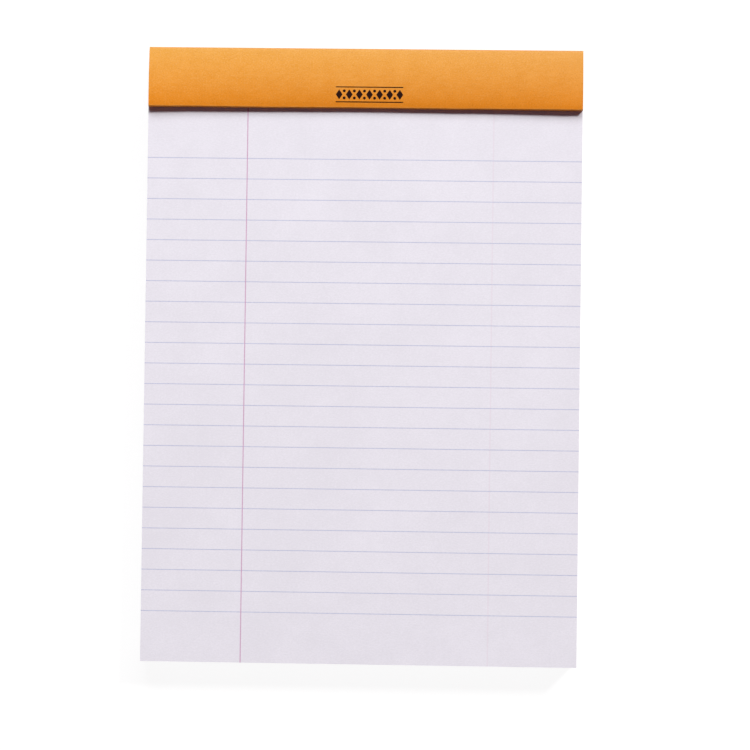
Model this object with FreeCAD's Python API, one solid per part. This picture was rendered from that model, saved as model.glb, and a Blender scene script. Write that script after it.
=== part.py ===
import FreeCAD, Part
import math
import os

# A writing pad stapled at the head, with its card cover folded round behind it. It lies on its back.
# X runs across the sheets, +Y points to the head and +Z up out of the top sheet. The origin is in the
# middle of the pad's outline, on the surface that the pad lies on. All sizes are in millimetres.

# Sheets and board
pad_width = 148.5         # an A5 sheet, cut as half of an A4 sheet
pad_length = 210.0        # over all, from the foot to the outside of the card at the head
sheet_count = 80
sheet_thick = 0.10
board_thick = 1.0

# Cover card
card_thick = 0.35
crease_radius = 0.05      # inside radius of a scored crease
head_play = 0.10          # between the heads of the sheets and the card that goes round them
wrap_play = 0.15          # between the inner and the outer layer of card at the head
score_gap = 0.12          # between the end of a panel and the score that it swings on
back_strip = 28.0         # how far the glued strip reaches down the back
band_depth = 20.6         # from the head to the folded lower edge of the band
fold_height = 2.1         # the folded edge, from the top sheet to the top of the card
fold_bend = 0.15          # inside radius of the two bends that the fold is made of, with a wall between them
fold_rise = 3.0           # degrees by which the band still climbs where it leaves the fold

# Staples, of flat wire
staple_crown = 12.0       # over the legs
staple_spacing = 74.0     # between the middles of the two staples
staple_from_head = 8.0
wire_thick = 0.5
wire_wide = 0.7
wire_bend = 0.10          # inside radius of the wire's corners
clinch_length = 4.0       # of each leg that lies along the back
staple_play = 0.05        # round the wire, in everything that it goes through

# Tear-off perforation through the sheets
perf_setback = 0.8        # behind the folded edge of the band
perf_cut = 1.5
perf_pitch = 2.2
perf_width = 0.12
perf_margin = 1.0         # least solid paper at each side of the pad

# Print
ink_thick = 0.02
rule_first = 37.9         # from the head to the first ruled line
rule_pitch = 7.04
rule_foot = 14.0          # least blank paper below the last ruled line
rule_width = 0.25
margin_from_left = 34.2
margin_width = 0.30
margin_under_band = 0.15  # how far the margin line goes on under the band's edge
ornament_width = 23.0
ornament_from_head = 15.9     # to the middle of the ornament
ornament_offset = 1.5         # to the right of the pad's middle
ornament_units = 7            # lozenges in the row, with a disc between each two
lozenge_width = 2.3
lozenge_height = 3.4
disc_diameter = 1.0
border_rule = 0.35            # thickness of the rule above and below the row
border_gap = 0.65             # between that rule and the lozenges

# Levels, from the surface up
back_face = card_thick                                  # underside of the glued strip
board_bottom = back_face + card_thick
block_bottom = board_bottom + board_thick
page_top = block_bottom + sheet_count * sheet_thick
strip_top = page_top + card_thick

# Places along the pad
head = pad_length / 2
foot = -pad_length / 2
left_side = -pad_width / 2
outer_line = head - card_thick / 2                      # middle of the outer layer at the head
inner_line = outer_line - card_thick - wrap_play        # middle of the inner layer at the head
block_head = inner_line - card_thick / 2 - head_play
band_edge = head - band_depth

# The fold and the arch of the band, along the middle of the card
crease_line = crease_radius + card_thick / 2
fold_line = fold_bend + card_thick / 2
fold_start = band_edge + card_thick / 2 + fold_line
fold_wall = fold_height - card_thick - fold_line * (1 + math.cos(math.radians(fold_rise)))
arch_start = (
    fold_start - fold_line * math.sin(math.radians(fold_rise)),
    page_top + fold_height - card_thick / 2,
)
head_score = (outer_line, strip_top + wrap_play + card_thick / 2)
back_score = (outer_line, card_thick / 2)
arch_run = head_score[0] - arch_start[0]
arch_drop = arch_start[1] - head_score[1]
arch_turn = 2 * (fold_rise + math.degrees(math.atan2(arch_drop, arch_run)))
arch_line = math.hypot(arch_run, arch_drop) / (2 * math.sin(math.radians(arch_turn / 2)))

# The closed cover ends flush with the foot, so the front cover is what the band and the head leave of it
head_panel = head_score[1] - back_score[1]
cover_length = (pad_length - band_depth) - (head_score[0] - band_edge) - head_panel


def across(width):
    """The profile plane of the card: the strip's u and v are Y and Z, and it is drawn out along X."""

    def to_space(u, v):
        return FreeCAD.Vector(-width / 2, u, v)

    return to_space, FreeCAD.Vector(width, 0, 0)


def along(middle, width):
    """The profile plane of a staple: the strip's u and v are X and Z, and it is drawn out along Y."""

    def to_space(u, v):
        return FreeCAD.Vector(u, middle - width / 2, v)

    return to_space, FreeCAD.Vector(0, width, 0)


def folded_strip(start, heading, steps, thick, plane, round_end=False):
    """A strip of even thickness that follows a chain of straights and bends.

    start and the steps follow the middle of the strip. A step ("straight", length) goes on ahead and a step
    ("bend", radius, turn) goes round, to the left where turn, in degrees, is positive.
    """
    to_space, drawn_out = plane
    half = thick / 2
    u, v = start
    left_edges, right_edges = [], []

    def ahead(angle):
        return math.cos(math.radians(angle)), math.sin(math.radians(angle))

    for step in steps:
        du, dv = ahead(heading)
        if step[0] == "straight":
            length = step[1]
            for edges, side in ((left_edges, 1), (right_edges, -1)):
                a = to_space(u - dv * half * side, v + du * half * side)
                b = a + to_space(du * length, dv * length) - to_space(0, 0)
                edges.append(Part.LineSegment(a, b).toShape())
            u, v = u + du * length, v + dv * length
        else:
            radius, turn = step[1:]
            way = math.copysign(1, turn)
            middle_u, middle_v = u - dv * radius * way, v + du * radius * way

            def on_bend(radius_here, angle):
                au, av = ahead(angle)
                return middle_u + av * radius_here * way, middle_v - au * radius_here * way

            for edges, side in ((left_edges, 1), (right_edges, -1)):
                edge_radius = radius - side * way * half
                points = [to_space(*on_bend(edge_radius, heading + turn * part)) for part in (0, 0.5, 1)]
                edges.append(Part.Arc(*points).toShape())
            heading += turn
            u, v = on_bend(radius, heading)

    last_left = left_edges[-1].Vertexes[-1].Point
    last_right = right_edges[-1].Vertexes[-1].Point
    if round_end:
        du, dv = ahead(heading)
        tip = to_space(u + du * half, v + dv * half)
        end = Part.Arc(last_left, tip, last_right).toShape()
    else:
        end = Part.LineSegment(last_left, last_right).toShape()
    opening = Part.LineSegment(right_edges[0].Vertexes[0].Point, left_edges[0].Vertexes[0].Point).toShape()
    outline = Part.Wire(Part.__sortEdges__(left_edges + [end] + right_edges[::-1] + [opening]))
    return Part.Face(outline).extrude(drawn_out)


def slab(x_from, x_to, y_from, y_to, z_from, z_to):
    """A box between two levels."""
    corner = FreeCAD.Vector(x_from, y_from, z_from)
    return Part.makeBox(x_to - x_from, y_to - y_from, z_to - z_from, corner)


def staple_middles():
    return [-staple_spacing / 2, staple_spacing / 2]


def staple(middle):
    """Crown on the stapled strip, legs down through the pad, and both ends clinched inwards behind it."""
    bend_line = wire_bend + wire_thick / 2
    leg_inset = (staple_crown - wire_thick) / 2
    crown_level = strip_top + wire_thick / 2
    clinch_level = back_face + staple_play + wire_thick / 2
    clinch = ("straight", clinch_length)
    corner = ("bend", bend_line, -90)
    leg = ("straight", crown_level - clinch_level - 2 * bend_line)
    crown = ("straight", 2 * (leg_inset - bend_line))
    start = (middle - leg_inset + bend_line + clinch_length, clinch_level)
    plane = along(head - staple_from_head, wire_wide)
    steps = [clinch, corner, leg, corner, crown, corner, leg, corner, clinch]
    return folded_strip(start, 180, steps, wire_thick, plane)


def staple_room(middle):
    """The holes for both legs, from the strip to the back, and the two grooves that the ends lie in."""
    half_crown = staple_crown / 2
    y_middle = head - staple_from_head
    y_from = y_middle - wire_wide / 2 - staple_play
    y_to = y_middle + wire_wide / 2 + staple_play
    hole = wire_thick + wire_bend + 2 * staple_play
    groove = wire_thick + wire_bend + clinch_length + 2 * staple_play
    groove_top = back_face + wire_thick + wire_bend + 2 * staple_play
    room = []
    for side in (-1, 1):
        outside = middle + side * (half_crown + staple_play)
        for reach, z_from, z_to in ((hole, groove_top, strip_top), (groove, back_face, groove_top)):
            inside = outside - side * reach
            room.append(slab(min(outside, inside), max(outside, inside), y_from, y_to, z_from, z_to))
    return room


def all_staple_room():
    return [box for middle in staple_middles() for box in staple_room(middle)]


def perforation():
    """A row of short cuts through every sheet, centred on the pad."""
    room = pad_width - 2 * perf_margin - perf_cut
    cuts = int(room // perf_pitch) + 1
    first = -(cuts - 1) * perf_pitch / 2
    y_middle = band_edge + perf_setback
    row = []
    for number in range(cuts):
        x_middle = first + number * perf_pitch
        row.append(
            slab(
                x_middle - perf_cut / 2,
                x_middle + perf_cut / 2,
                y_middle - perf_width / 2,
                y_middle + perf_width / 2,
                block_bottom,
                page_top,
            )
        )
    return row


def page_block():
    block = slab(left_side, -left_side, foot, block_head, block_bottom, page_top)
    return block.cut(all_staple_room() + perforation())


def backing_board():
    board = slab(left_side, -left_side, foot, block_head, board_bottom, block_bottom)
    return board.cut(all_staple_room())


def cover_binding():
    """The glued strip, the inner layer over the head, the stapled strip, the fold and the arched band."""
    start = (inner_line + card_thick / 2 - back_strip, back_face + card_thick / 2)
    crease = ("bend", crease_line, 90)
    steps = [
        ("straight", inner_line - crease_line - start[0]),
        crease,
        ("straight", page_top - back_face - 2 * crease_line),
        crease,
        ("straight", inner_line - crease_line - fold_start),
        ("bend", fold_line, -90),
        ("straight", fold_wall),
        ("bend", fold_line, fold_rise - 90),
        ("bend", arch_line, -arch_turn),
    ]
    card = folded_strip(start, 0, steps, card_thick, across(pad_width), round_end=True)
    return card.cut(all_staple_room())


def cover_spine():
    """The outer layer down the head, from the score at the band to the score at the back."""
    start = (outer_line, head_score[1] - card_thick / 2 - score_gap)
    steps = [("straight", start[1] - back_score[1])]
    return folded_strip(start, -90, steps, card_thick, across(pad_width), round_end=True)


def front_cover():
    """The front cover, folded behind the pad, so that it lies on the surface."""
    start = (outer_line - card_thick / 2 - score_gap, back_score[1])
    steps = [("straight", cover_length)]
    return folded_strip(start, 180, steps, card_thick, across(pad_width))


def ruled_lines():
    """As many as the sheet has room for. Each is broken by the margin line and runs off both sides."""
    margin_left = left_side + margin_from_left - margin_width / 2
    rule_count = int((pad_length - rule_first - rule_foot) // rule_pitch) + 1
    lines = []
    for number in range(rule_count):
        y_middle = head - rule_first - number * rule_pitch
        y_from, y_to = y_middle - rule_width / 2, y_middle + rule_width / 2
        for x_from, x_to in ((left_side, margin_left), (margin_left + margin_width, -left_side)):
            lines.append(slab(x_from, x_to, y_from, y_to, page_top, page_top + ink_thick))
    return Part.makeCompound(lines)


def margin_line():
    """From the foot up to just under the folded edge of the band."""
    middle = left_side + margin_from_left
    y_to = band_edge + margin_under_band
    return slab(
        middle - margin_width / 2, middle + margin_width / 2, foot, y_to, page_top, page_top + ink_thick
    )


def lozenge(x_middle, y_middle, width, height):
    corners = [(width / 2, 0), (0, height / 2), (-width / 2, 0), (0, -height / 2), (width / 2, 0)]
    points = [FreeCAD.Vector(x_middle + x, y_middle + y, page_top) for x, y in corners]
    return Part.Face(Part.makePolygon(points)).extrude(FreeCAD.Vector(0, 0, 2 * fold_height))


def disc(x_middle, y_middle, diameter):
    return Part.makeCylinder(
        diameter / 2, 2 * fold_height, FreeCAD.Vector(x_middle, y_middle, page_top), FreeCAD.Vector(0, 0, 1)
    )


def band_ornament():
    """A row of lozenges and discs between two rules, as a film of ink on the arched face of the band."""
    film_line = arch_line + card_thick / 2 + ink_thick / 2
    lift = film_line - arch_line
    rise = math.radians(fold_rise)
    start = (arch_start[0] - lift * math.sin(rise), arch_start[1] + lift * math.cos(rise))
    film = folded_strip(start, fold_rise, [("bend", film_line, -arch_turn)], ink_thick, across(pad_width))

    y_middle = head - ornament_from_head
    pitch = (ornament_width - lozenge_width) / (ornament_units - 1)
    first = ornament_offset - (ornament_width - lozenge_width) / 2
    shapes = []
    for number in range(ornament_units):
        shapes.append(lozenge(first + number * pitch, y_middle, lozenge_width, lozenge_height))
    for number in range(ornament_units - 1):
        for side in (-1, 1):
            y_disc = y_middle + side * (lozenge_height - disc_diameter) / 2
            shapes.append(disc(first + (number + 0.5) * pitch, y_disc, disc_diameter))
    for side in (-1, 1):
        y_rule = y_middle + side * (lozenge_height + border_rule + 2 * border_gap) / 2
        shapes.append(
            slab(
                ornament_offset - ornament_width / 2,
                ornament_offset + ornament_width / 2,
                y_rule - border_rule / 2,
                y_rule + border_rule / 2,
                page_top,
                page_top + 2 * fold_height,
            )
        )
    return Part.makeCompound([film.common(shape) for shape in shapes])


def all_parts():
    parts = {
        "page_block": page_block(),
        "backing_board": backing_board(),
        "cover_binding": cover_binding(),
        "cover_spine": cover_spine(),
        "front_cover": front_cover(),
        "ruled_lines": ruled_lines(),
        "margin_line": margin_line(),
        "band_ornament": band_ornament(),
    }
    for name, middle in zip(("staple_left", "staple_right"), staple_middles()):
        parts[name] = staple(middle)
    return parts


os.makedirs("parts", exist_ok=True)
for name, shape in all_parts().items():
    shape.exportStep(os.path.join("parts", name + ".step"))
    print(name, len(shape.Solids), round(shape.Volume, 3), shape.isValid())
print("head score", head_score, "back score", back_score, "cover length", round(cover_length, 3))
print("arch", round(arch_line, 3), round(arch_turn, 3))
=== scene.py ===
import math
import random

import bmesh
import bpy
import numpy as np
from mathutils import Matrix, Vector, noise


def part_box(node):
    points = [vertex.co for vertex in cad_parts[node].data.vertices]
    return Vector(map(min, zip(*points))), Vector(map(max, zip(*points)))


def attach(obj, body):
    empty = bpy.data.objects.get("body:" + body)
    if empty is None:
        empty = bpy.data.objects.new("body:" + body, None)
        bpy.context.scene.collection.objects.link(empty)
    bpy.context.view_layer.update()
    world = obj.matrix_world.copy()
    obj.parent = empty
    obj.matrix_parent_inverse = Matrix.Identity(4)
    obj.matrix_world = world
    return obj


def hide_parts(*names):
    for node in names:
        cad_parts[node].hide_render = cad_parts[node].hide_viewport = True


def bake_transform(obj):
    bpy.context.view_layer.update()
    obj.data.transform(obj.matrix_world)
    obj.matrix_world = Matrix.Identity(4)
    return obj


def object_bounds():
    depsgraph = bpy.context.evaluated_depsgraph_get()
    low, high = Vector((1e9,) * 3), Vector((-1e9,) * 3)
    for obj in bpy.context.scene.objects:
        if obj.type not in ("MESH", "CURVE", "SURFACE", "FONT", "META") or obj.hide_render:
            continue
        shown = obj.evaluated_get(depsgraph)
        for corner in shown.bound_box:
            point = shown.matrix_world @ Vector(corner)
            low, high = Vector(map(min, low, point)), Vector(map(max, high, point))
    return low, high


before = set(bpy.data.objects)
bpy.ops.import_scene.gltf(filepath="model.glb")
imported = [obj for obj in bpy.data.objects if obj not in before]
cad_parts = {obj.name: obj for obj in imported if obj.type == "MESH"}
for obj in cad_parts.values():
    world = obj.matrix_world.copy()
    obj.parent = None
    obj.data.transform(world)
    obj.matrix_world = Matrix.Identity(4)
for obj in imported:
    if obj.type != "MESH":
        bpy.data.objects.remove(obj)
cad_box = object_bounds()

MM = 0.001

# Sizes of the pad that the boxes of its nodes don't give. The band and the first line start from the head
CARD = 0.35 * MM
CREASE_RADIUS = 0.05 * MM
BAND_DEPTH = 20.6 * MM
FOLD_HEIGHT = 2.1 * MM
FOLD_BEND = 0.15 * MM
FOLD_RISE = 3.0
WRAP_PLAY = 0.15 * MM
BACK_STRIP = 28.0 * MM
SHEET_COUNT = 80
RULE_FIRST = 37.9 * MM
RULE_PITCH = 7.04 * MM
RULE_COUNT = 23
RULE_WIDTH = 0.25 * MM
MARGIN_FROM_LEFT = 34.2 * MM
MARGIN_WIDTH = 0.30 * MM
MARGIN_UNDER_BAND = 0.15 * MM
BACK_MARGIN_FROM_RIGHT = 30.2 * MM
INK = 0.008 * MM
INK_INSET = 0.01 * MM
STAPLES = ("staple_left", "staple_right")

# Places, from the frame
sheets_low, sheets_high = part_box("page_block")
COVER_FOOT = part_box("front_cover")[0].y
HALF_WIDTH = sheets_high.x
WIDTH = 2 * HALF_WIDTH
FOOT = sheets_low.y
SHEETS_HEAD = sheets_high.y
HEAD = cad_box[1].y
PAGE_TOP = sheets_high.z
BLOCK_BOTTOM = sheets_low.z
BAND_EDGE = HEAD - BAND_DEPTH
MARGIN_X = -HALF_WIDTH + MARGIN_FROM_LEFT

# The photograph's camera: focal length in millimetres, place in metres and turn in degrees
CAMERA_LENS = 100.0
CAMERA_PLACE = (0.02125, -0.02033, 0.71967)
CAMERA_TURN = (1.137, 1.328, 0.765)

# Unevenness of the top sheet: height, size across and along the sheet, and seed
PAGE_WAVES = ((0.12 * MM, 62 * MM, 74 * MM, 3.1), (0.03 * MM, 27 * MM, 33 * MM, 8.4))
FLAT_UNDER_BAND = 30 * MM

# Unevenness of the band's folded edge: how it sags, and its waves as height, length and seed
BAND_SAG = 0.50 * MM
BAND_SAG_POWER = 2.4
SAG_WAVE = (0.06 * MM, 17 * MM, 5.5)
CORNER_SAG = 0.16 * MM
CORNER_REACH = 5 * MM
EDGE_WAVES = ((0.10 * MM, 31 * MM, 1.7), (0.04 * MM, 9 * MM, 7.9))


def smooth_step(low, high, value):
    """0 at the low end and 1 at the high end, level at both."""
    t = np.clip((value - low) / (high - low), 0, 1)
    return t * t * (3 - 2 * t)


def page_wave(x, y):
    """How far the top sheet rises or dips. It lies flat where the stapled strip holds it."""
    free = float(smooth_step(BAND_EDGE, BAND_EDGE - FLAT_UNDER_BAND, y))
    rise = 0.0
    for height, across, along, seed in PAGE_WAVES:
        rise += height * noise.noise(Vector((x / across, y / along, seed)))
    return free * rise


def edge_wave(x, height, length, seed):
    """A slow wave along the band's folded edge."""
    return height * noise.noise(Vector((x / length, seed, 0)))


def fold_droop(x):
    """How far the folded edge of the band sags below its highest places, near the pad's two sides."""
    sag = BAND_SAG * (1 - abs(x / HALF_WIDTH) ** BAND_SAG_POWER)
    corner = CORNER_SAG * float(smooth_step(HALF_WIDTH - CORNER_REACH, HALF_WIDTH, x))
    return max(sag + edge_wave(x, *SAG_WAVE) + corner, 0)


def edge_wander(x):
    """How far the folded edge strays from a straight line."""
    return sum(edge_wave(x, *wave) for wave in EDGE_WAVES)


def link(name, mesh, material, body=None, smooth_angle=35):
    """A new object with its material. Faces that meet under the angle are shaded smoothly."""
    piece = bpy.data.objects.new(name, mesh)
    bpy.context.scene.collection.objects.link(piece)
    for each in material if isinstance(material, tuple) else (material,):
        mesh.materials.append(each)
    mesh.polygons.foreach_set("use_smooth", [True] * len(mesh.polygons))
    mesh.set_sharp_from_angle(angle=math.radians(smooth_angle))
    if body:
        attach(piece, body)
    return piece


def mesh_of(name, points, faces, flat=None):
    """A mesh from points and faces, wound outwards. flat gives each point's place on the unfolded card."""
    mesh = bpy.data.meshes.new(name)
    mesh.from_pydata([tuple(map(float, p)) for p in points], [], faces)
    if flat is not None:
        layer = mesh.uv_layers.new(name="flat")
        for loop in mesh.loops:
            layer.data[loop.index].uv = flat[loop.vertex_index]
    work = bmesh.new()
    work.from_mesh(mesh)
    bmesh.ops.recalc_face_normals(work, faces=work.faces)
    work.to_mesh(mesh)
    work.free()
    mesh.update()
    return mesh


# Materials


class Finish:
    """A node material in the making."""

    def __init__(self, name, roughness=0.6, metallic=0.0, specular=0.5):
        self.material = bpy.data.materials.new(name)
        self.material.use_nodes = True
        self.tree = self.material.node_tree
        self.tree.nodes.clear()
        self.out = self.add("ShaderNodeOutputMaterial")
        self.shader = self.add("ShaderNodeBsdfPrincipled")
        self.shader.inputs["Roughness"].default_value = roughness
        self.shader.inputs["Metallic"].default_value = metallic
        self.shader.inputs["Specular IOR Level"].default_value = specular
        self.wire(self.shader.outputs["BSDF"], self.out.inputs["Surface"])

    def add(self, kind, **settings):
        node = self.tree.nodes.new(kind)
        for name, value in settings.items():
            setattr(node, name, value)
        return node

    def wire(self, output, socket):
        self.tree.links.new(output, socket)

    def place(self, stretch=(1, 1, 1), flat=False):
        """Texture space in metres, or the unfolded card's, stretched along each axis."""
        if flat:
            source = self.add("ShaderNodeUVMap", uv_map="flat").outputs["UV"]
        else:
            source = self.add("ShaderNodeTexCoord").outputs["Object"]
        mapping = self.add("ShaderNodeMapping")
        mapping.inputs["Scale"].default_value = stretch
        self.wire(source, mapping.inputs["Vector"])
        return mapping.outputs["Vector"]

    def axes(self, flat=False):
        """X, Y and Z of the texture space, each as a value."""
        node = self.add("ShaderNodeSeparateXYZ")
        self.wire(self.place(flat=flat), node.inputs[0])
        return node.outputs

    def noise(self, where, size, detail=2.0, roughness=0.5, distortion=0.0):
        """Noise between 0 and 1 with features of about the given size in metres."""
        node = self.add("ShaderNodeTexNoise")
        node.inputs["Scale"].default_value = 1 / size
        node.inputs["Detail"].default_value = detail
        node.inputs["Roughness"].default_value = roughness
        node.inputs["Distortion"].default_value = distortion
        self.wire(where, node.inputs["Vector"])
        return node.outputs["Fac"]

    def math(self, operation, *values):
        """The result of a sum on one or two values, each a number or another node's output."""
        node = self.add("ShaderNodeMath", operation=operation)
        for socket, value in zip(node.inputs, values):
            if isinstance(value, (int, float)):
                socket.default_value = value
            else:
                self.wire(value, socket)
        return node.outputs["Value"]

    def spread(self, value, low, high, to_low=0.0, to_high=1.0):
        """value, clamped between low and high, scaled to a new range."""
        node = self.add("ShaderNodeMapRange")
        settings = {"From Min": low, "From Max": high, "To Min": to_low, "To Max": to_high}
        for name, number in settings.items():
            node.inputs[name].default_value = number
        self.wire(value, node.inputs["Value"])
        return node.outputs["Result"]

    def mix(self, share, a, b):
        """Colour a where share is 0 and colour b where it is 1."""
        node = self.add("ShaderNodeMix", data_type="RGBA")
        for socket, value in ((node.inputs[0], share), (node.inputs[6], a), (node.inputs[7], b)):
            if isinstance(value, (int, float)):
                socket.default_value = value
            elif isinstance(value, tuple):
                socket.default_value = (*value, 1)
            else:
                self.wire(value, socket)
        return node.outputs[2]

    def tint(self, colour, filter_colour):
        """A colour as seen through a coloured filter."""
        node = self.add("ShaderNodeMix", data_type="RGBA", blend_type="MULTIPLY")
        node.inputs[0].default_value = 1
        self.wire(colour, node.inputs[6])
        self.wire(filter_colour, node.inputs[7])
        return node.outputs[2]

    def line_at(self, value, middle, half_width, blur):
        """1 within half_width of the middle, falling to 0 over blur."""
        away = self.math("ABSOLUTE", self.math("SUBTRACT", value, middle))
        return self.spread(away, half_width, half_width + blur, 1, 0)

    def colour(self, value):
        self.wire(value, self.shader.inputs["Base Color"])

    def roughness(self, value):
        self.wire(value, self.shader.inputs["Roughness"])

    def bump(self, height, depth, strength=1.0):
        node = self.add("ShaderNodeBump")
        node.inputs["Strength"].default_value = strength
        node.inputs["Distance"].default_value = depth
        self.wire(height, node.inputs["Height"])
        self.wire(node.outputs["Normal"], self.shader.inputs["Normal"])


PAPER = (0.803, 0.794, 0.854)


def shade(colour, factor):
    """A lighter or darker shade of a colour."""
    return tuple(channel * factor for channel in colour)


def paper_face():
    """Smooth writing paper: uneven pulp, short fibres, and the next page's margin line showing through."""
    m = Finish("paper_face", roughness=0.66, specular=0.22)
    where = m.place()
    clouds = m.noise(where, 19 * MM, detail=6, roughness=0.70)
    fibres = m.noise(m.place((1, 1.8, 1)), 0.8 * MM, detail=3, roughness=0.65)
    grain = m.noise(where, 0.35 * MM, detail=1)
    mottle = m.math("ADD", m.math("MULTIPLY", clouds, 0.45), m.math("MULTIPLY", fibres, 0.55))
    tone = m.mix(m.spread(mottle, 0.40, 0.60), shade(PAPER, 0.950), shade(PAPER, 1.034))
    tone = m.mix(m.spread(grain, 0.35, 0.70, 0, 0.5), tone, shade(PAPER, 0.945))
    ghost = m.line_at(m.axes()["X"], HALF_WIDTH - BACK_MARGIN_FROM_RIGHT, 0.14 * MM, 0.2 * MM)
    m.colour(m.mix(m.math("MULTIPLY", ghost, 0.26), tone, (0.74, 0.62, 0.70)))
    m.roughness(m.spread(fibres, 0.3, 0.7, 0.56, 0.68))
    m.bump(m.math("ADD", fibres, m.math("MULTIPLY", clouds, 0.6)), 0.006 * MM)
    return m.material


def paper_edges():
    """The cut edges of the sheets: thin darker and lighter streaks, partly the sheets' own tone and partly
    painted shade for the gaps between them, and a speck of ink where each ruled line runs off.
    """
    m = Finish("paper_edges", roughness=0.8, specular=0.2)
    streaks_and_gap_shade = m.noise(m.place((1, 1, 45)), 9 * MM, detail=5, roughness=0.75)
    grain = m.noise(m.place((1, 1, 4)), 0.5 * MM, detail=2)
    both = m.math("ADD", m.math("MULTIPLY", streaks_and_gap_shade, 0.75), m.math("MULTIPLY", grain, 0.25))
    # Partly painted shade: darker streaks stand in for the gaps between the sheets
    tone = m.mix(m.spread(both, 0.36, 0.64), shade(PAPER, 0.74), shade(PAPER, 1.02))
    axes = m.axes()
    above_first_rule = HEAD - RULE_FIRST + RULE_PITCH / 2
    steps = m.math("DIVIDE", m.math("SUBTRACT", above_first_rule, axes["Y"]), RULE_PITCH)
    beside = m.math("MULTIPLY", m.math("SUBTRACT", m.math("FRACT", steps), 0.5), RULE_PITCH)
    speck = m.line_at(beside, 0, 0.10 * MM, 0.12 * MM)
    rows = m.math("MULTIPLY", m.math("GREATER_THAN", steps, 0), m.math("LESS_THAN", steps, RULE_COUNT))
    on_side = m.spread(m.math("ABSOLUTE", axes["X"]), HALF_WIDTH - 1 * MM, HALF_WIDTH - 0.9 * MM)
    broken = m.spread(m.noise(m.place((1, 1, 12)), 1.1 * MM), 0.42, 0.58)
    inked = m.math("MULTIPLY", m.math("MULTIPLY", speck, rows), m.math("MULTIPLY", on_side, broken))
    m.colour(m.mix(m.math("MULTIPLY", inked, 0.45), tone, (0.40, 0.42, 0.58)))
    m.bump(both, 0.03 * MM, 0.6)
    return m.material


def orange_card(name, wear_and_sheen_places):
    """Dyed card with a low sheen: cloudy dye, pale and dark fibres, lighter lines of wear and painted sheen,
    and painted shade along the creases.

    The colour runs from a deeper, darker red at the fold to a paler, yellower orange at the head: painted
    shade near the fold and painted sheen towards the head. The card past the head's crease is painted a shade
    darker.
    """
    m = Finish(name, roughness=0.5)
    where = m.place(flat=True)
    clouds = m.noise(where, 5 * MM, detail=3, roughness=0.6)
    fibres = m.noise(m.place((1, 2.2, 1), flat=True), 0.9 * MM, detail=3, roughness=0.65, distortion=0.4)
    fine = m.noise(where, 0.50 * MM, detail=2, roughness=0.7)
    mottle = m.math("ADD", m.math("MULTIPLY", clouds, 0.5), m.math("MULTIPLY", fibres, 0.5))
    across, along = m.axes(flat=True)[0:2]
    # Painted shade and sheen: deeper, darker red at the fold, paler and yellower towards the head, for how
    # the band turns to the light
    painted_sheen_to_head = m.spread(along, FOLD_APEX, HEAD_CORNER)
    deep = m.mix(painted_sheen_to_head, (0.795, 0.218, 0.003), (0.672, 0.272, 0.016))
    pale = m.mix(painted_sheen_to_head, (0.845, 0.250, 0.009), (0.718, 0.304, 0.031))
    tone = m.mix(m.spread(mottle, 0.36, 0.64), deep, pale)
    specks = m.spread(fine, 0.50, 0.66)
    fibre = m.mix(painted_sheen_to_head, (0.86, 0.36, 0.075), (0.76, 0.43, 0.17))
    tone = m.mix(m.math("MULTIPLY", specks, 0.34), tone, fibre)
    dark = m.spread(m.noise(m.place(flat=True), 0.4 * MM, detail=1), 0.42, 0.28)
    tone = m.mix(m.math("MULTIPLY", dark, 0.40), tone, (0.50, 0.13, 0.002))
    patches = m.noise(m.place((0.35, 1, 1), flat=True), 1.2 * MM, detail=3)
    patchy = m.spread(patches, 0.35, 0.65, 0.35, 1)
    # Lighter lines: a thin one along the fold's crest, painted sheen across the middle of the band, and wear
    # along the cover's cut end
    for place, half, blur, amount in wear_and_sheen_places:
        lighter_line = m.line_at(along, place, half, blur)
        wear_and_sheen = m.math("MULTIPLY", m.math("MULTIPLY", lighter_line, patchy), amount)
        tone = m.mix(wear_and_sheen, tone, (1.0, 0.62, 0.22))
    # Painted shade: the card past the head's crease, which faces the key light, is tinted darker
    painted_shade_past_head = m.spread(along, HEAD_CORNER + 0.2 * MM, HEAD_CORNER + 1.2 * MM)
    tone = m.tint(tone, m.mix(painted_shade_past_head, (1.0, 1.0, 1.0), (0.86, 0.76, 0.62)))
    # Painted shade: a dark line along the head and back creases
    for place in (HEAD_CORNER, BACK_CORNER):
        painted_crease_shade = m.line_at(along, place + 0.06 * MM, 0.16 * MM, 0.20 * MM)
        tone = m.mix(m.math("MULTIPLY", painted_crease_shade, 0.55), tone, (0.40, 0.12, 0.004))
    # Painted light and shade: paler, greener orange at the left side, darker at the right
    painted_light_across = m.spread(across, -HALF_WIDTH, HALF_WIDTH)
    m.colour(m.tint(tone, m.mix(painted_light_across, (1.0, 1.10, 1.18), (0.95, 1.01, 1.0))))
    sheen = m.spread(along, FOLD_APEX, HEAD_CORNER, 0.25, 0.55)
    m.wire(sheen, m.shader.inputs["Specular IOR Level"])
    m.roughness(m.spread(mottle, 0.3, 0.7, 0.41, 0.50))
    m.bump(m.math("ADD", m.math("MULTIPLY", fibres, 0.6), m.math("MULTIPLY", fine, 0.4)), 0.018 * MM)
    return m.material


def ink(name, colour, patch, low, specular=0.3):
    """Printed ink that lets a little of the sheet through."""
    m = Finish(name, roughness=0.6, specular=specular)
    thin = m.spread(m.noise(m.place(), patch, detail=3, roughness=0.7), 0.3, 0.7)
    m.colour(m.mix(thin, colour, low))
    m.bump(m.noise(m.place(), 0.2 * MM), 0.002 * MM)
    return m.material


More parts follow.
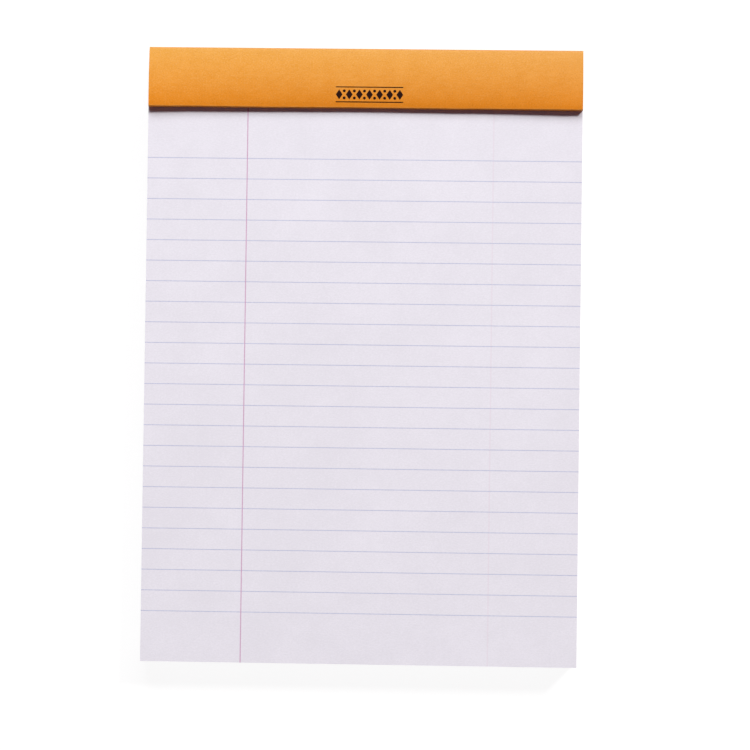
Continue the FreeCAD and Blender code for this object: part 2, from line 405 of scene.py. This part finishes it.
def greyboard():
    """Recycled board: soft grey-brown felt with pale and dark flecks."""
    m = Finish("greyboard", roughness=0.88, specular=0.2)
    felt = m.noise(m.place((1, 1.6, 1)), 1.6 * MM, detail=5, roughness=0.65)
    clouds = m.noise(m.place(), 14 * MM, detail=2)
    both = m.math("ADD", m.math("MULTIPLY", felt, 0.65), m.math("MULTIPLY", clouds, 0.35))
    tone = m.mix(m.spread(both, 0.3, 0.7), (0.235, 0.215, 0.185), (0.335, 0.310, 0.275))
    pale = m.spread(m.noise(m.place((1, 2.4, 1)), 0.55 * MM, detail=1), 0.66, 0.74)
    dark = m.spread(m.noise(m.place((2.2, 1, 1)), 0.6 * MM, detail=1), 0.33, 0.26)
    tone = m.mix(m.math("MULTIPLY", pale, 0.4), tone, (0.55, 0.52, 0.47))
    tone = m.mix(m.math("MULTIPLY", dark, 0.4), tone, (0.09, 0.08, 0.075))
    m.colour(tone)
    m.bump(felt, 0.06 * MM, 0.7)
    return m.material


def staple_wire():
    """Drawn, galvanised wire, dulled along its length."""
    m = Finish("staple_wire", roughness=0.34, metallic=1.0)
    drawn = m.noise(m.place((1, 14, 4)), 2.4 * MM, detail=3)
    m.colour(m.mix(m.spread(drawn, 0.3, 0.7), (0.50, 0.50, 0.51), (0.72, 0.72, 0.73)))
    m.roughness(m.spread(drawn, 0.3, 0.7, 0.28, 0.46))
    m.bump(drawn, 0.01 * MM, 0.5)
    return m.material


def pale_floor():
    """A plain white surface that stays almost white in the pad's own soft shadow."""
    m = Finish("pale_floor", roughness=0.9, specular=0.1)
    soft = m.noise(m.place(), 0.4, detail=1)
    m.colour(m.mix(soft, (0.15, 0.15, 0.151), (0.16, 0.16, 0.16)))
    m.shader.inputs["Emission Color"].default_value = (1, 1, 1, 1)
    m.shader.inputs["Emission Strength"].default_value = 0.92
    return m.material


# Sheets

# How far the sheets' edges stray from an even block
SIDE_SHIFT = 0.035 * MM
SIDE_SPARE = 0.05 * MM
FOOT_SHIFT = 0.045 * MM
FOOT_LIMIT = 0.2 * MM
HEAD_INSET = 0.02 * MM
SLACK_SHARE = 0.2
SLACK = 0.05 * MM
FRAY = 0.012 * MM
FRAY_WAVE = 0.35 * MM

# Between two sheets lies a groove. The flat of a cut edge starts and ends at these shares of the sheet
GROOVE = 0.05 * MM
EDGE_FROM, EDGE_TO = 0.22, 0.80


def sheet_insets():
    """How far each sheet, from the lowest up, is set in at its left, right, foot and head."""
    chance = random.Random(11)
    insets = []
    for _ in range(SHEET_COUNT):
        shift = chance.gauss(0, SIDE_SHIFT)
        slack = SLACK * chance.random() if chance.random() < SLACK_SHARE else 0
        left = min(max(SIDE_SPARE + shift, 0), 2 * SIDE_SPARE) + slack
        right = min(max(SIDE_SPARE - shift, 0), 2 * SIDE_SPARE) + slack
        foot = min(abs(chance.gauss(0, FOOT_SHIFT)) + slack, FOOT_LIMIT)
        insets.append((left, right, foot, HEAD_INSET))
    insets[-1] = (0, 0, 0, HEAD_INSET)
    return insets


def sheet_stack():
    """The sheets as one closed block. Each sheet's cut edge is a ring with a groove under it."""
    columns, rows = 48, 68
    thick = (PAGE_TOP - BLOCK_BOTTOM) / SHEET_COUNT
    across = [column / columns for column in range(columns + 1)]
    down = [row / rows for row in range(rows + 1)]
    rim = [(c, 0) for c in range(columns)] + [(columns, r) for r in range(rows)]
    rim += [(c, rows) for c in range(columns, 0, -1)] + [(0, r) for r in range(rows, 0, -1)]

    def outline(level, inset):
        """The block's rim at one level; inset gives left, right, foot and head."""
        left, right, foot, head = inset
        ring = []
        for c, r in rim:
            fray = FRAY * noise.noise(Vector((c * 0.9, r * 0.9, level / FRAY_WAVE)))
            x = -HALF_WIDTH + left + (WIDTH - left - right) * across[c]
            y = FOOT + foot + (SHEETS_HEAD - FOOT - foot - head) * down[r]
            pull = 1 - (abs(fray) + FRAY) / HALF_WIDTH
            ring.append((x * pull, y if r in (0, rows) else y * pull, level))
        return ring

    points, faces = [], []
    for number, inset in enumerate(sheet_insets()):
        low = BLOCK_BOTTOM + number * thick
        grooved = tuple(side + GROOVE for side in inset)
        points += outline(low, grooved if number else inset)
        points += outline(low + EDGE_FROM * thick, inset)
        points += outline(low + EDGE_TO * thick, inset)
    rings = 3 * SHEET_COUNT
    size = len(rim)
    for ring in range(rings - 1):
        for here in range(size):
            after = (here + 1) % size
            a, b = ring * size, (ring + 1) * size
            faces.append((a + here, a + after, b + after, b + here))

    top = {}
    for r in range(rows + 1):
        for c in range(columns + 1):
            x = -HALF_WIDTH + WIDTH * across[c]
            y = FOOT + (SHEETS_HEAD - FOOT - HEAD_INSET) * down[r]
            top[c, r] = len(points)
            points.append((x, y, PAGE_TOP + page_wave(x, y)))
    last = (rings - 1) * size
    for here in range(size):
        after = (here + 1) % size
        faces.append((last + here, last + after, top[rim[after]], top[rim[here]]))
    side_faces = len(faces)
    for r in range(rows):
        for c in range(columns):
            faces.append((top[c, r], top[c + 1, r], top[c + 1, r + 1], top[c, r + 1]))
    top_faces = len(faces)
    faces.append(tuple(range(size))[::-1])
    mesh = mesh_of("sheets", points, faces)
    material = [1] * side_faces + [0] * (top_faces - side_faces) + [1]
    mesh.polygons.foreach_set("material_index", material)
    piece = link("sheets", mesh, (paper_face(), paper_edges()), "pad")
    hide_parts("page_block")


def ink_strip(x_from, x_to, y_from, y_to, pieces_along, upright):
    """Points and faces of a closed strip of ink that follows the top sheet."""
    points, faces = [], []
    for number in range(pieces_along + 1):
        share = number / pieces_along
        if upright:
            y = y_from + (y_to - y_from) * share
            pair = ((x_to, y), (x_from, y))
        else:
            x = x_from + (x_to - x_from) * share
            pair = ((x, y_from), (x, y_to))
        for x, y in pair:
            level = PAGE_TOP + page_wave(x, y)
            points += [(x, y, level - INK), (x, y, level + INK)]
    for number in range(pieces_along):
        a, b = 4 * number, 4 * number + 4
        faces += [(a + 1, b + 1, b + 3, a + 3), (a, a + 2, b + 2, b)]
        faces += [(a, b, b + 1, a + 1), (a + 2, a + 3, b + 3, b + 2)]
    end = 4 * pieces_along
    faces += [(0, 1, 3, 2), (end, end + 2, end + 3, end + 1)]
    return points, faces


def joined(strips):
    """The points and faces of several closed shapes as one list of each."""
    points, faces = [], []
    for more_points, more_faces in strips:
        start = len(points)
        points += more_points
        faces += [tuple(start + index for index in face) for face in more_faces]
    return points, faces


def ruled_lines():
    """Every line runs off both sides of the sheet and is broken by the margin line."""
    strips = []
    for number in range(RULE_COUNT):
        y = HEAD - RULE_FIRST - number * RULE_PITCH
        for x_from, x_to, parts in (
            (-HALF_WIDTH + INK_INSET, MARGIN_X - MARGIN_WIDTH / 2, 14),
            (MARGIN_X + MARGIN_WIDTH / 2, HALF_WIDTH - INK_INSET, 44),
        ):
            strips.append(ink_strip(x_from, x_to, y - RULE_WIDTH / 2, y + RULE_WIDTH / 2, parts, False))
    blue = ink("rule_ink", (0.46, 0.484, 0.655), 0.5 * MM, (0.586, 0.616, 0.768))
    piece = link("rules", mesh_of("rules", *joined(strips)), blue, "pad")
    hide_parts("ruled_lines")


def margin_line():
    """From the foot to just under the band."""
    left, right = MARGIN_X - MARGIN_WIDTH / 2, MARGIN_X + MARGIN_WIDTH / 2
    strip = ink_strip(left, right, FOOT + INK_INSET, BAND_EDGE + MARGIN_UNDER_BAND, 80, True)
    pink = ink("margin_ink", (0.56, 0.29, 0.47), 0.5 * MM, (0.63, 0.38, 0.55))
    piece = link("margin", mesh_of("margin", *strip), pink, "pad")
    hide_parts("margin_line")


# Card


def stations(start, heading, steps, spacing=1.2 * MM, corner=9.0):
    """Places along the middle of a folded strip, each as u, v, heading and the distance gone.

    A step ("straight", length) goes ahead. A step ("bend", radius, turn) goes round, to the left for a turn
    above 0. u runs towards the head and v upwards.
    """
    u, v = start
    gone = 0.0
    places = [(u, v, heading, gone)]
    for step in steps:
        if step[0] == "straight":
            parts = max(1, round(step[1] / spacing))
            h = math.radians(heading)
            for number in range(1, parts + 1):
                length = step[1] * number / parts
                places.append((u + math.cos(h) * length, v + math.sin(h) * length, heading, gone + length))
        else:
            radius, turn = step[1:]
            way = math.copysign(1, turn)
            h = math.radians(heading)
            cu, cv = u - math.sin(h) * radius * way, v + math.cos(h) * radius * way
            arc = radius * math.radians(abs(turn))
            parts = max(2, round(abs(turn) / corner), round(arc / spacing))
            for number in range(1, parts + 1):
                at = heading + turn * number / parts
                h = math.radians(at)
                here = (cu + math.sin(h) * radius * way, cv - math.cos(h) * radius * way)
                places.append((*here, at, gone + arc * number / parts))
            heading += turn
        u, v, _, gone = places[-1]
    return places


def card_mesh(name, places, distance_from=0.0, warp=None, columns=64):
    """A closed strip of card across the pad. warp gives how far a point moves in y and z."""
    half = CARD / 2
    points, flat, faces = [], [], []
    xs = [-CARD_LEFT + (CARD_RIGHT + CARD_LEFT) * column / columns for column in range(columns + 1)]
    for u, v, heading, gone in places:
        h = math.radians(heading)
        for side in (1, -1):
            for x in xs:
                y, z = u - math.sin(h) * half * side, v + math.cos(h) * half * side
                if warp:
                    dy, dz = warp(x, gone)
                    y, z = y + dy, z + dz
                points.append((x, y, z))
                flat.append((x, distance_from + gone))
    row = columns + 1
    for station in range(len(places) - 1):
        a, b = 2 * row * station, 2 * row * (station + 1)
        for column in range(columns):
            faces.append((a + column, a + column + 1, b + column + 1, b + column))
            faces.append((a + row + column, b + row + column, b + row + column + 1, a + row + column + 1))
        faces.append((a, b, b + row, a + row))
        faces.append((a + columns, a + row + columns, b + row + columns, b + columns))
    end = 2 * row * (len(places) - 1)
    for column in range(columns):
        faces.append((column, row + column, row + column + 1, column + 1))
        faces.append((end + column, end + column + 1, end + row + column + 1, end + row + column))
    return mesh_of(name, points, faces, flat)


# The card stops a little inside the sheets' two sides
CARD_LEFT = HALF_WIDTH - 0.20 * MM
CARD_RIGHT = HALF_WIDTH - 0.05 * MM

# The card's middle line, in the plane across the pad's head
outer_line = HEAD - CARD / 2
inner_line = outer_line - CARD - WRAP_PLAY
crease = CREASE_RADIUS + CARD / 2
strip_top = PAGE_TOP + CARD
fold_line = FOLD_BEND + CARD / 2
fold_start = BAND_EDGE + CARD / 2 + fold_line
fold_wall = FOLD_HEIGHT - CARD - fold_line * (1 + math.cos(math.radians(FOLD_RISE)))
head_score = (outer_line, strip_top + WRAP_PLAY + CARD / 2)
back_score = (outer_line, CARD / 2)


def arch():
    """The band's arch from the fold to the head score: start and radius of the card's middle."""
    start = (fold_start - fold_line * math.sin(math.radians(FOLD_RISE)), PAGE_TOP + FOLD_HEIGHT - CARD / 2)
    run, drop = head_score[0] - start[0], start[1] - head_score[1]
    turn = 2 * (FOLD_RISE + math.degrees(math.atan2(drop, run)))
    radius = math.hypot(run, drop) / (2 * math.sin(math.radians(turn / 2)))
    return start, radius


arch_start, arch_radius = arch()
STRIP_START = (inner_line + CARD / 2 - BACK_STRIP, back_score[1] + CARD)
WRAP_STEPS = [
    ("straight", inner_line - crease - STRIP_START[0]),
    ("bend", crease, 90),
    ("straight", PAGE_TOP - CARD - 2 * crease),
    ("bend", crease, 90),
    ("straight", inner_line - crease - fold_start),
]
FOLD_STEPS = [("bend", fold_line, -90), ("straight", fold_wall), ("bend", fold_line, FOLD_RISE - 90)]

# The arch ends where a rounded crease takes over that touches both it and the outer layer
arch_middle = arch_start[0] + arch_radius * math.sin(math.radians(FOLD_RISE))
arch_dip = math.degrees(math.asin((outer_line - crease - arch_middle) / (arch_radius - crease)))
ARCH_STEP = ("bend", arch_radius, -(FOLD_RISE + arch_dip))
CORNER_TURN = arch_dip - 90
SPINE_MIDDLE = (head_score[1] + back_score[1]) / 2

wrap_places = stations(STRIP_START, 0, WRAP_STEPS)
wrap_length = wrap_places[-1][3]
band_start = wrap_places[-1][:2]
band_steps = FOLD_STEPS + [ARCH_STEP, ("bend", crease, CORNER_TURN)]
corner_end = stations(band_start, 180, band_steps)[-1]
band_steps.append(("straight", corner_end[1] - SPINE_MIDDLE))
band_places = stations(band_start, 180, band_steps, 0.9 * MM, 7.0)
band_length = band_places[-1][3]
wall_from = fold_line * math.radians(90)
wall_to = wall_from + fold_wall
fold_length = wall_to + fold_line * math.radians(90 - FOLD_RISE)
arch_length = arch_radius * math.radians(FOLD_RISE + arch_dip)


# How the band and the front cover stray from their even shapes
SAG_FADES_OVER = 0.96
SAG_FADE_POWER = 2.5
WANDER_FADES_OVER = 7 * MM
EDGE_CURL = 0.06 * MM
CURL_REACH = 1.8 * MM
COVER_LIFT = 0.10 * MM


def left_over(gone, start, reach):
    """1 up to the start, falling evenly to 0 over the reach."""
    return 1 - float(np.clip((gone - start) / reach, 0, 1))


def band_shape(x, gone):
    """How the band strays from its even arch: it sags and curls down at its edge, and the edge wanders."""
    sunk = 1 - left_over(gone, wall_from / 2, wall_to - wall_from / 2)
    to_head = left_over(gone, fold_length, arch_length * SAG_FADES_OVER) ** SAG_FADE_POWER
    starts = smooth_step(0, wall_from, gone)
    ends = smooth_step(fold_length, fold_length + WANDER_FADES_OVER, gone)
    curl = EDGE_CURL * left_over(gone, fold_length, CURL_REACH) ** 2
    return edge_wander(x) * float(starts - ends), -sunk * (fold_droop(x) * to_head + curl)


def front_cover_shape(x, gone):
    """The front cover lies on the surface and lifts a hair where nothing presses on it."""
    free = float(smooth_step(half_spine + 30 * MM, half_spine + 70 * MM, gone))
    lift = COVER_LIFT * (1 + noise.noise(Vector((x / (60 * MM), gone / (50 * MM), 2.2))))
    return 0.0, free * lift


half_spine = SPINE_MIDDLE - crease - back_score[1]
cover_run = outer_line - crease - COVER_FOOT
COVER_STEPS = [("straight", half_spine), ("bend", crease, -90), ("straight", cover_run)]
cover_places = stations((outer_line, SPINE_MIDDLE), -90, COVER_STEPS, 2.4 * MM)

# Marks on the card, as distances along it from the end of the back strip
FOLD_APEX = wrap_length + (wall_to + fold_length) / 2
HEAD_CORNER = wrap_length + fold_length + arch_length + crease * math.radians(-CORNER_TURN) / 2
BACK_CORNER = wrap_length + band_length + half_spine + crease * math.radians(45)
CARD_END = wrap_length + band_length + cover_places[-1][3]

# Lighter lines across the card: place, half width, blur and strength. A thin line along the fold's crest,
# painted sheen across the middle of the band, and wear along the cover's cut end
WEAR_AND_SHEEN_LINES = [
    (FOLD_APEX + 0.05 * MM, 0.08 * MM, 0.30 * MM, 0.22),
    # painted sheen across the middle of the band
    (FOLD_APEX + 9.5 * MM, 2.0 * MM, 8.0 * MM, 0.085),
    (CARD_END, 0.15 * MM, 0.35 * MM, 0.30),
]


# Room in the card for a staple's leg and its clinched end
STAPLE_PLAY = 0.05 * MM
LEG_REACH = 0.7 * MM
CLINCH_REACH = 4.7 * MM
CLINCH_TOP = 1.1 * MM
BEYOND = 1 * MM


def cut_grooves(piece, staples):
    """Takes the room of the staples' legs and clinched ends out of the card that they pass through."""
    for name in staples:
        low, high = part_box(name)
        for side in (-1, 1):
            outer = high.x if side > 0 else low.x
            for reach, z_to in ((LEG_REACH, high.z + BEYOND), (CLINCH_REACH, CLINCH_TOP)):
                x_out, x_in, z_from = outer + side * STAPLE_PLAY, outer - side * reach, -BEYOND
                bpy.ops.mesh.primitive_cube_add(size=1)
                tool = bpy.context.object
                tool.scale = (abs(x_out - x_in), high.y - low.y + 2 * STAPLE_PLAY, z_to - z_from)
                tool.location = ((x_out + x_in) / 2, (high.y + low.y) / 2, (z_from + z_to) / 2)
                bpy.context.view_layer.update()
                cut = piece.modifiers.new("groove", "BOOLEAN")
                cut.operation, cut.object, cut.solver = "DIFFERENCE", tool, "EXACT"
                bpy.context.view_layer.objects.active = piece
                bpy.ops.object.modifier_apply(modifier=cut.name)
                bpy.data.objects.remove(tool)


def cover_card():
    """The cover in three pieces that meet edge to edge: under the fold, and half way down the head."""
    card = orange_card("orange_card", WEAR_AND_SHEEN_LINES)

    wrap = link("cover_wrap", card_mesh("cover_wrap", wrap_places), card)
    cut_grooves(wrap, STAPLES)
    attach(wrap, "pad")
    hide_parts("cover_binding")

    # Each bend starts and ends at places measured from its score, towards the head and up
    band = link("cover_band", card_mesh("cover_band", band_places, wrap_length, band_shape, 96), card)
    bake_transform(band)
    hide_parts("cover_binding", "cover_spine")

    front_mesh = card_mesh("front_card", cover_places, wrap_length + band_length, front_cover_shape)
    front = link("front_card", front_mesh, card)
    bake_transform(front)
    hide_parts("front_cover")


# Ornament

ORNAMENT_WIDTH = 23.0 * MM
ORNAMENT_FROM_HEAD = 15.9 * MM
ORNAMENT_OFFSET = 1.5 * MM
ORNAMENT_UNITS = 7
LOZENGE = (2.3 * MM, 3.4 * MM)
DISC = 1.0 * MM
BORDER_RULE = 0.35 * MM
BORDER_GAP = 0.65 * MM
BORDER_PARTS = 16
POINT_WIDTH = 0.004 * MM


def band_face(x, y):
    """Height of the band's upper face over a place on the pad."""
    radius = arch_radius + CARD / 2
    rise = math.radians(FOLD_RISE)
    middle_y = arch_start[0] + arch_radius * math.sin(rise)
    middle_z = arch_start[1] - arch_radius * math.cos(rise)
    swing = math.asin((y - middle_y) / radius)
    gone = fold_length + arch_radius * (swing + rise)
    return middle_z + radius * math.cos(swing) + band_shape(x, gone)[1]


def ink_shape(x_middle, y_middle, height, half_width, rows):
    """A closed film of ink on the band, the same to both sides. half_width gives its half width at each y."""
    points, faces = [], []
    for number in range(rows + 1):
        y_off = height * (number / rows - 0.5)
        w = max(half_width(y_off), POINT_WIDTH)
        for x in (x_middle - w, x_middle, x_middle + w):
            level = band_face(x, y_middle + y_off)
            points += [(x, y_middle + y_off, level - INK), (x, y_middle + y_off, level + INK)]
    for number in range(rows):
        a, b = 6 * number, 6 * number + 6
        for side in (0, 2):
            faces.append((a + side + 1, a + side + 3, b + side + 3, b + side + 1))
            faces.append((a + side, b + side, b + side + 2, a + side + 2))
        faces += [(a, a + 1, b + 1, b), (a + 4, b + 4, b + 5, a + 5)]
    end = 6 * rows
    faces += [(0, 2, 4, 5, 3, 1), (end, end + 1, end + 3, end + 5, end + 4, end + 2)]
    return points, faces


def band_ornament():
    """A printer's border: lozenges with discs between them, and a thin rule above and below."""
    y = HEAD - ORNAMENT_FROM_HEAD
    pitch = (ORNAMENT_WIDTH - LOZENGE[0]) / (ORNAMENT_UNITS - 1)
    first = ORNAMENT_OFFSET - (ORNAMENT_WIDTH - LOZENGE[0]) / 2

    def lozenge(off):
        return LOZENGE[0] / 2 * (1 - abs(off) / (LOZENGE[1] / 2))

    def disc(off):
        return math.sqrt(max((DISC / 2) ** 2 - off**2, 0))

    shapes = [ink_shape(first + n * pitch, y, LOZENGE[1], lozenge, 24) for n in range(ORNAMENT_UNITS)]
    for n in range(ORNAMENT_UNITS - 1):
        for side in (-1, 1):
            place = y + side * (LOZENGE[1] - DISC) / 2
            shapes.append(ink_shape(first + (n + 0.5) * pitch, place, DISC, disc, 14))
    width = ORNAMENT_WIDTH / BORDER_PARTS
    for side in (-1, 1):
        place = y + side * (LOZENGE[1] + BORDER_RULE + 2 * BORDER_GAP) / 2
        for n in range(BORDER_PARTS):
            x = ORNAMENT_OFFSET - ORNAMENT_WIDTH / 2 + (n + 0.5) * width
            shapes.append(ink_shape(x, place, BORDER_RULE, lambda off: width / 2, 2))
    dark = ink("dark_ink", (0.014, 0.004, 0.003), 0.35 * MM, (0.032, 0.011, 0.008), specular=0.06)
    piece = link("ornament", mesh_of("ornament", *joined(shapes)), dark, "pad")
    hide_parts("band_ornament")


# Stage, light and camera

FLOOR_GAP = 0.03 * MM
KEY_FROM = (0.95, 1.0, 0.95)
BROAD_PLACE = (0.0, 1.80, 0.99)
BROAD_SIZE = (1.65, 0.9)


def stage():
    """A plain white floor under the pad, and a dim room whose warm tint fills the shadow under the band."""
    bpy.ops.mesh.primitive_plane_add(size=30, location=(0, 0, -FLOOR_GAP))
    floor = bpy.context.object
    floor.name = "floor"
    floor.data.materials.append(pale_floor())

    world = bpy.data.worlds.new("soft_room")
    bpy.context.scene.world = world
    world.use_nodes = True
    back = world.node_tree.nodes["Background"]
    back.inputs["Color"].default_value = (1.0, 0.56, 0.70, 1)
    back.inputs["Strength"].default_value = 0.08


def add_light(name, kind, energy, colour, place):
    """A light that shines from a place towards the pad."""
    data = bpy.data.lights.new(name, kind)
    data.energy, data.color = energy, colour
    lamp = bpy.data.objects.new(name, data)
    bpy.context.scene.collection.objects.link(lamp)
    lamp.location = place
    lamp.rotation_euler = Vector(place).to_track_quat("Z", "Y").to_euler()
    return data


def lights():
    """A distant key light from beyond the head and the right, and a broad low one beyond the head."""
    key = add_light("key", "SUN", 3.07, (1, 0.99, 0.98), KEY_FROM)
    key.angle = math.radians(10)
    broad = add_light("broad", "AREA", 39, (0.97, 0.98, 1), BROAD_PLACE)
    broad.shape = "ELLIPSE"
    broad.size, broad.size_y = BROAD_SIZE


def camera():
    """A long lens almost straight above the pad, turned as the photograph's was."""
    data = bpy.data.cameras.new("camera")
    data.lens, data.sensor_width = CAMERA_LENS, 36.0
    data.clip_start, data.clip_end = 0.01, 20
    viewer = bpy.data.objects.new("camera", data)
    bpy.context.scene.collection.objects.link(viewer)
    viewer.location = CAMERA_PLACE
    viewer.rotation_euler = [math.radians(turn) for turn in CAMERA_TURN]
    bpy.context.scene.camera = viewer
    bpy.context.scene.view_settings.view_transform = "Standard"


def dress_solid(node, material):
    """Gives a solid that the scene keeps as it is a material of its own."""
    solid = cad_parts[node]
    solid.data.materials.clear()
    solid.data.materials.append(material)


camera()
stage()
lights()
sheet_stack()
ruled_lines()
margin_line()
cover_card()
band_ornament()
dress_solid("backing_board", greyboard())
for staple in STAPLES:
    dress_solid(staple, staple_wire())
